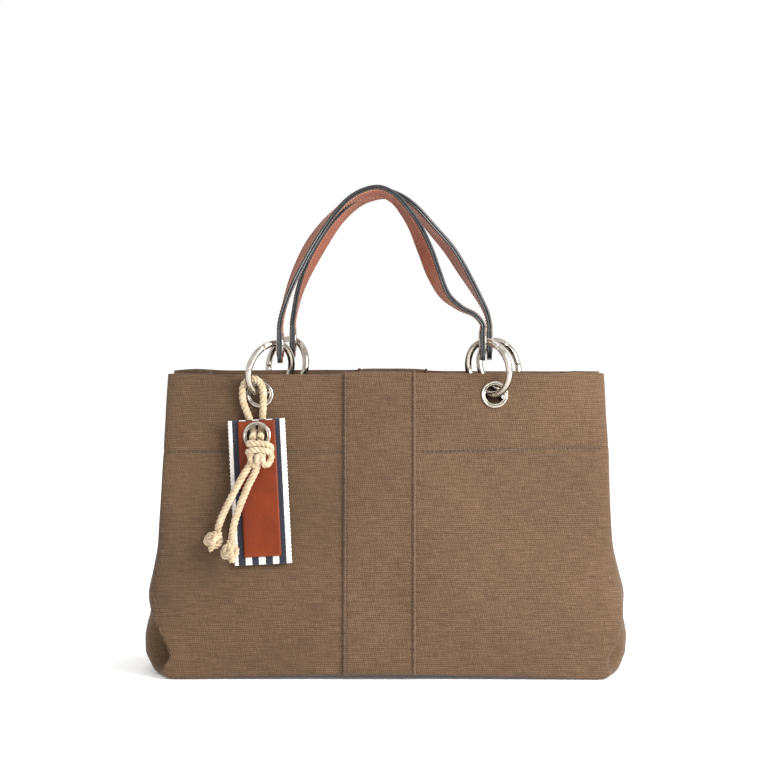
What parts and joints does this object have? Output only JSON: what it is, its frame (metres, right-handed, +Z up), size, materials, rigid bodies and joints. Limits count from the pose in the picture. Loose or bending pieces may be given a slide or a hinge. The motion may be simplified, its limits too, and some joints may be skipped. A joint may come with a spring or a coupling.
{
  "type": "satchel bag",
  "caption": "Structured canvas satchel with trapezoid body, contrast leather top handles on spring-gate rings through metal eyelets, centre band and a rope-tied ribbon and leather tag.",
  "frame": {"origin": "centre of the base, on the surface that the bag stands on", "axes": "+Z up, -Y towards the front with the tag, +X to the right as seen from the front"},
  "size_m": [0.3598, 0.1438, 0.3692],
  "materials": {
    "canvas": "taupe brown cotton canvas, ribbed plain weave",
    "lining": "plain cotton lining",
    "base_board": "matte stiffener board",
    "leather": "smooth cognac leather with dark painted edges",
    "nickel": "polished pale nickel plate",
    "ribbon": "woven grosgrain ribbon with navy stripes on off-white",
    "rope": "natural twisted rope"
  },
  "bodies": {
    "bag": {"front_panel": "canvas", "back_panel": "canvas", "front_facing": "canvas", "back_facing": "canvas", "centre_band_front": "canvas", "centre_band_back": "canvas", "left_gusset": "canvas", "right_gusset": "canvas", "base_panel": "canvas", "lining": "lining", "lining_base": "lining", "inner_pocket": "lining", "base_board": "base_board", "magnetic_snap_front": "nickel", "magnetic_snap_back": "nickel", "eyelet_front_left": "nickel", "eyelet_front_right": "nickel", "eyelet_back_left": "nickel", "eyelet_back_right": "nickel", "washer_front_left": "nickel", "washer_front_right": "nickel", "washer_back_left": "nickel", "washer_back_right": "nickel"},
    "ring_front_left_body": {"ring_front_left": "nickel"},
    "gate_front_left_body": {"gate_front_left": "nickel"},
    "ring_front_right_body": {"ring_front_right": "nickel"},
    "gate_front_right_body": {"gate_front_right": "nickel"},
    "ring_back_left_body": {"ring_back_left": "nickel"},
    "gate_back_left_body": {"gate_back_left": "nickel"},
    "ring_back_right_body": {"ring_back_right": "nickel"},
    "gate_back_right_body": {"gate_back_right": "nickel"},
    "handle_front": {"handle_front_outer": "leather", "handle_front_lining": "leather", "strap_eyelet_front_left": "nickel", "strap_eyelet_front_right": "nickel"},
    "handle_back": {"handle_back_outer": "leather", "handle_back_lining": "leather", "strap_eyelet_back_left": "nickel", "strap_eyelet_back_right": "nickel"},
    "charm": {"tag_ribbon": "ribbon", "tag_leather": "leather", "tag_eyelet": "nickel", "rope_loop": "rope", "rope_knot": "rope", "rope_tail_left": "rope", "rope_tail_right": "rope", "end_knot_left": "rope", "end_knot_right": "rope"}
  },
  "joints": [
    {"name": "ring_front_left_swing", "type": "hinge", "parent": "bag", "child": "ring_front_left_body", "pos_m": [-0.0953, -0.03133, 0.21077], "axis": [1, 0, 0], "range_deg": [0, 8]},
    {"name": "ring_front_right_swing", "type": "hinge", "parent": "bag", "child": "ring_front_right_body", "pos_m": [0.082, -0.03133, 0.21077], "axis": [1, 0, 0], "range_deg": [0, 8]},
    {"name": "ring_back_right_swing", "type": "hinge", "parent": "bag", "child": "ring_back_right_body", "pos_m": [0.0953, 0.03133, 0.21077], "axis": [-1, 0, 0], "range_deg": [0, 8]},
    {"name": "ring_back_left_swing", "type": "hinge", "parent": "bag", "child": "ring_back_left_body", "pos_m": [-0.082, 0.03133, 0.21077], "axis": [-1, 0, 0], "range_deg": [0, 8]},
    {"name": "handle_front_swing", "type": "hinge", "parent": "ring_front_left_body", "child": "handle_front", "pos_m": [-0.07994, -0.03133, 0.24878], "axis": [0.9999, 0, 0.0127], "range_deg": [0, 110]},
    {"name": "handle_back_swing", "type": "hinge", "parent": "ring_back_right_body", "child": "handle_back", "pos_m": [0.07994, 0.03133, 0.24878], "axis": [-0.9999, 0, 0.0127], "range_deg": [0, 110]},
    {"name": "gate_front_left_spring", "type": "hinge", "parent": "ring_front_left_body", "child": "gate_front_left_body", "pos_m": [-0.09295, -0.0421, 0.24638], "axis": [0.6441, -0.7193, -0.2602], "range_deg": [0, 25], "stiffness_Nm_per_rad": 0.05, "springref_deg": -17.19},
    {"name": "gate_front_right_spring", "type": "hinge", "parent": "ring_front_right_body", "child": "gate_front_right_body", "pos_m": [0.08525, -0.0421, 0.2463], "axis": [0.6769, 0.7193, 0.1563], "range_deg": [0, 25], "stiffness_Nm_per_rad": 0.05, "springref_deg": -17.19},
    {"name": "gate_back_left_spring", "type": "hinge", "parent": "ring_back_left_body", "child": "gate_back_left_body", "pos_m": [-0.08525, 0.0421, 0.2463], "axis": [-0.6769, -0.7193, 0.1563], "range_deg": [0, 25], "stiffness_Nm_per_rad": 0.05, "springref_deg": -17.19},
    {"name": "gate_back_right_spring", "type": "hinge", "parent": "ring_back_right_body", "child": "gate_back_right_body", "pos_m": [0.09295, 0.0421, 0.24638], "axis": [-0.6441, 0.7193, -0.2602], "range_deg": [0, 25], "stiffness_Nm_per_rad": 0.05, "springref_deg": -17.19},
    {"name": "charm_swing", "type": "hinge", "parent": "bag", "child": "charm", "pos_m": [-0.1005, -0.03602, 0.22297], "axis": [-1, 0, 0], "range_deg": [0, 20]}
  ],
  "couplings": [
    {"joint": "ring_front_right_swing", "follows": "ring_front_left_swing", "ratio": 0.9516},
    {"joint": "ring_back_left_swing", "follows": "ring_back_right_swing", "ratio": 0.9516}
  ]
}
